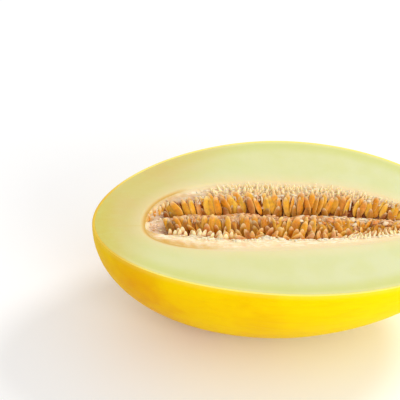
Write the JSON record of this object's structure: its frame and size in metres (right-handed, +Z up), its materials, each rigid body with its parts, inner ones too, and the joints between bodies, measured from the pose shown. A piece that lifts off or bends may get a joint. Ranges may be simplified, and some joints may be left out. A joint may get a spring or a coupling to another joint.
{
  "type": "canary melon half",
  "caption": "Lengthways half of a canary melon on its rind: thin yellow skin, pale green flesh, and a long cavity with pulp and amber seeds.",
  "frame": {"origin": "on the floor, under the middle of the melon's box", "axes": "+X along the melon from the deeper end to the shallower one, +Y across it and away from the viewer, +Z up out of the cut face"},
  "size_m": [0.23, 0.15, 0.0749],
  "materials": {
    "rind": "smooth waxy skin with a soft sheen, deep canary yellow, faint lengthways streaks",
    "flesh": "moist cut flesh, pale green at the rind and creamier by the cavity",
    "pulp": "wet fibrous pulp, cream with pinkish and golden threads",
    "seeds": "wet amber seeds with pale points"
  },
  "bodies": {
    "root": {"rind": "rind", "flesh": "flesh", "pulp": "pulp", "seeds_far": "seeds", "seeds_ridge": "seeds", "seeds_near": "seeds"}
  },
  "joints": []
}
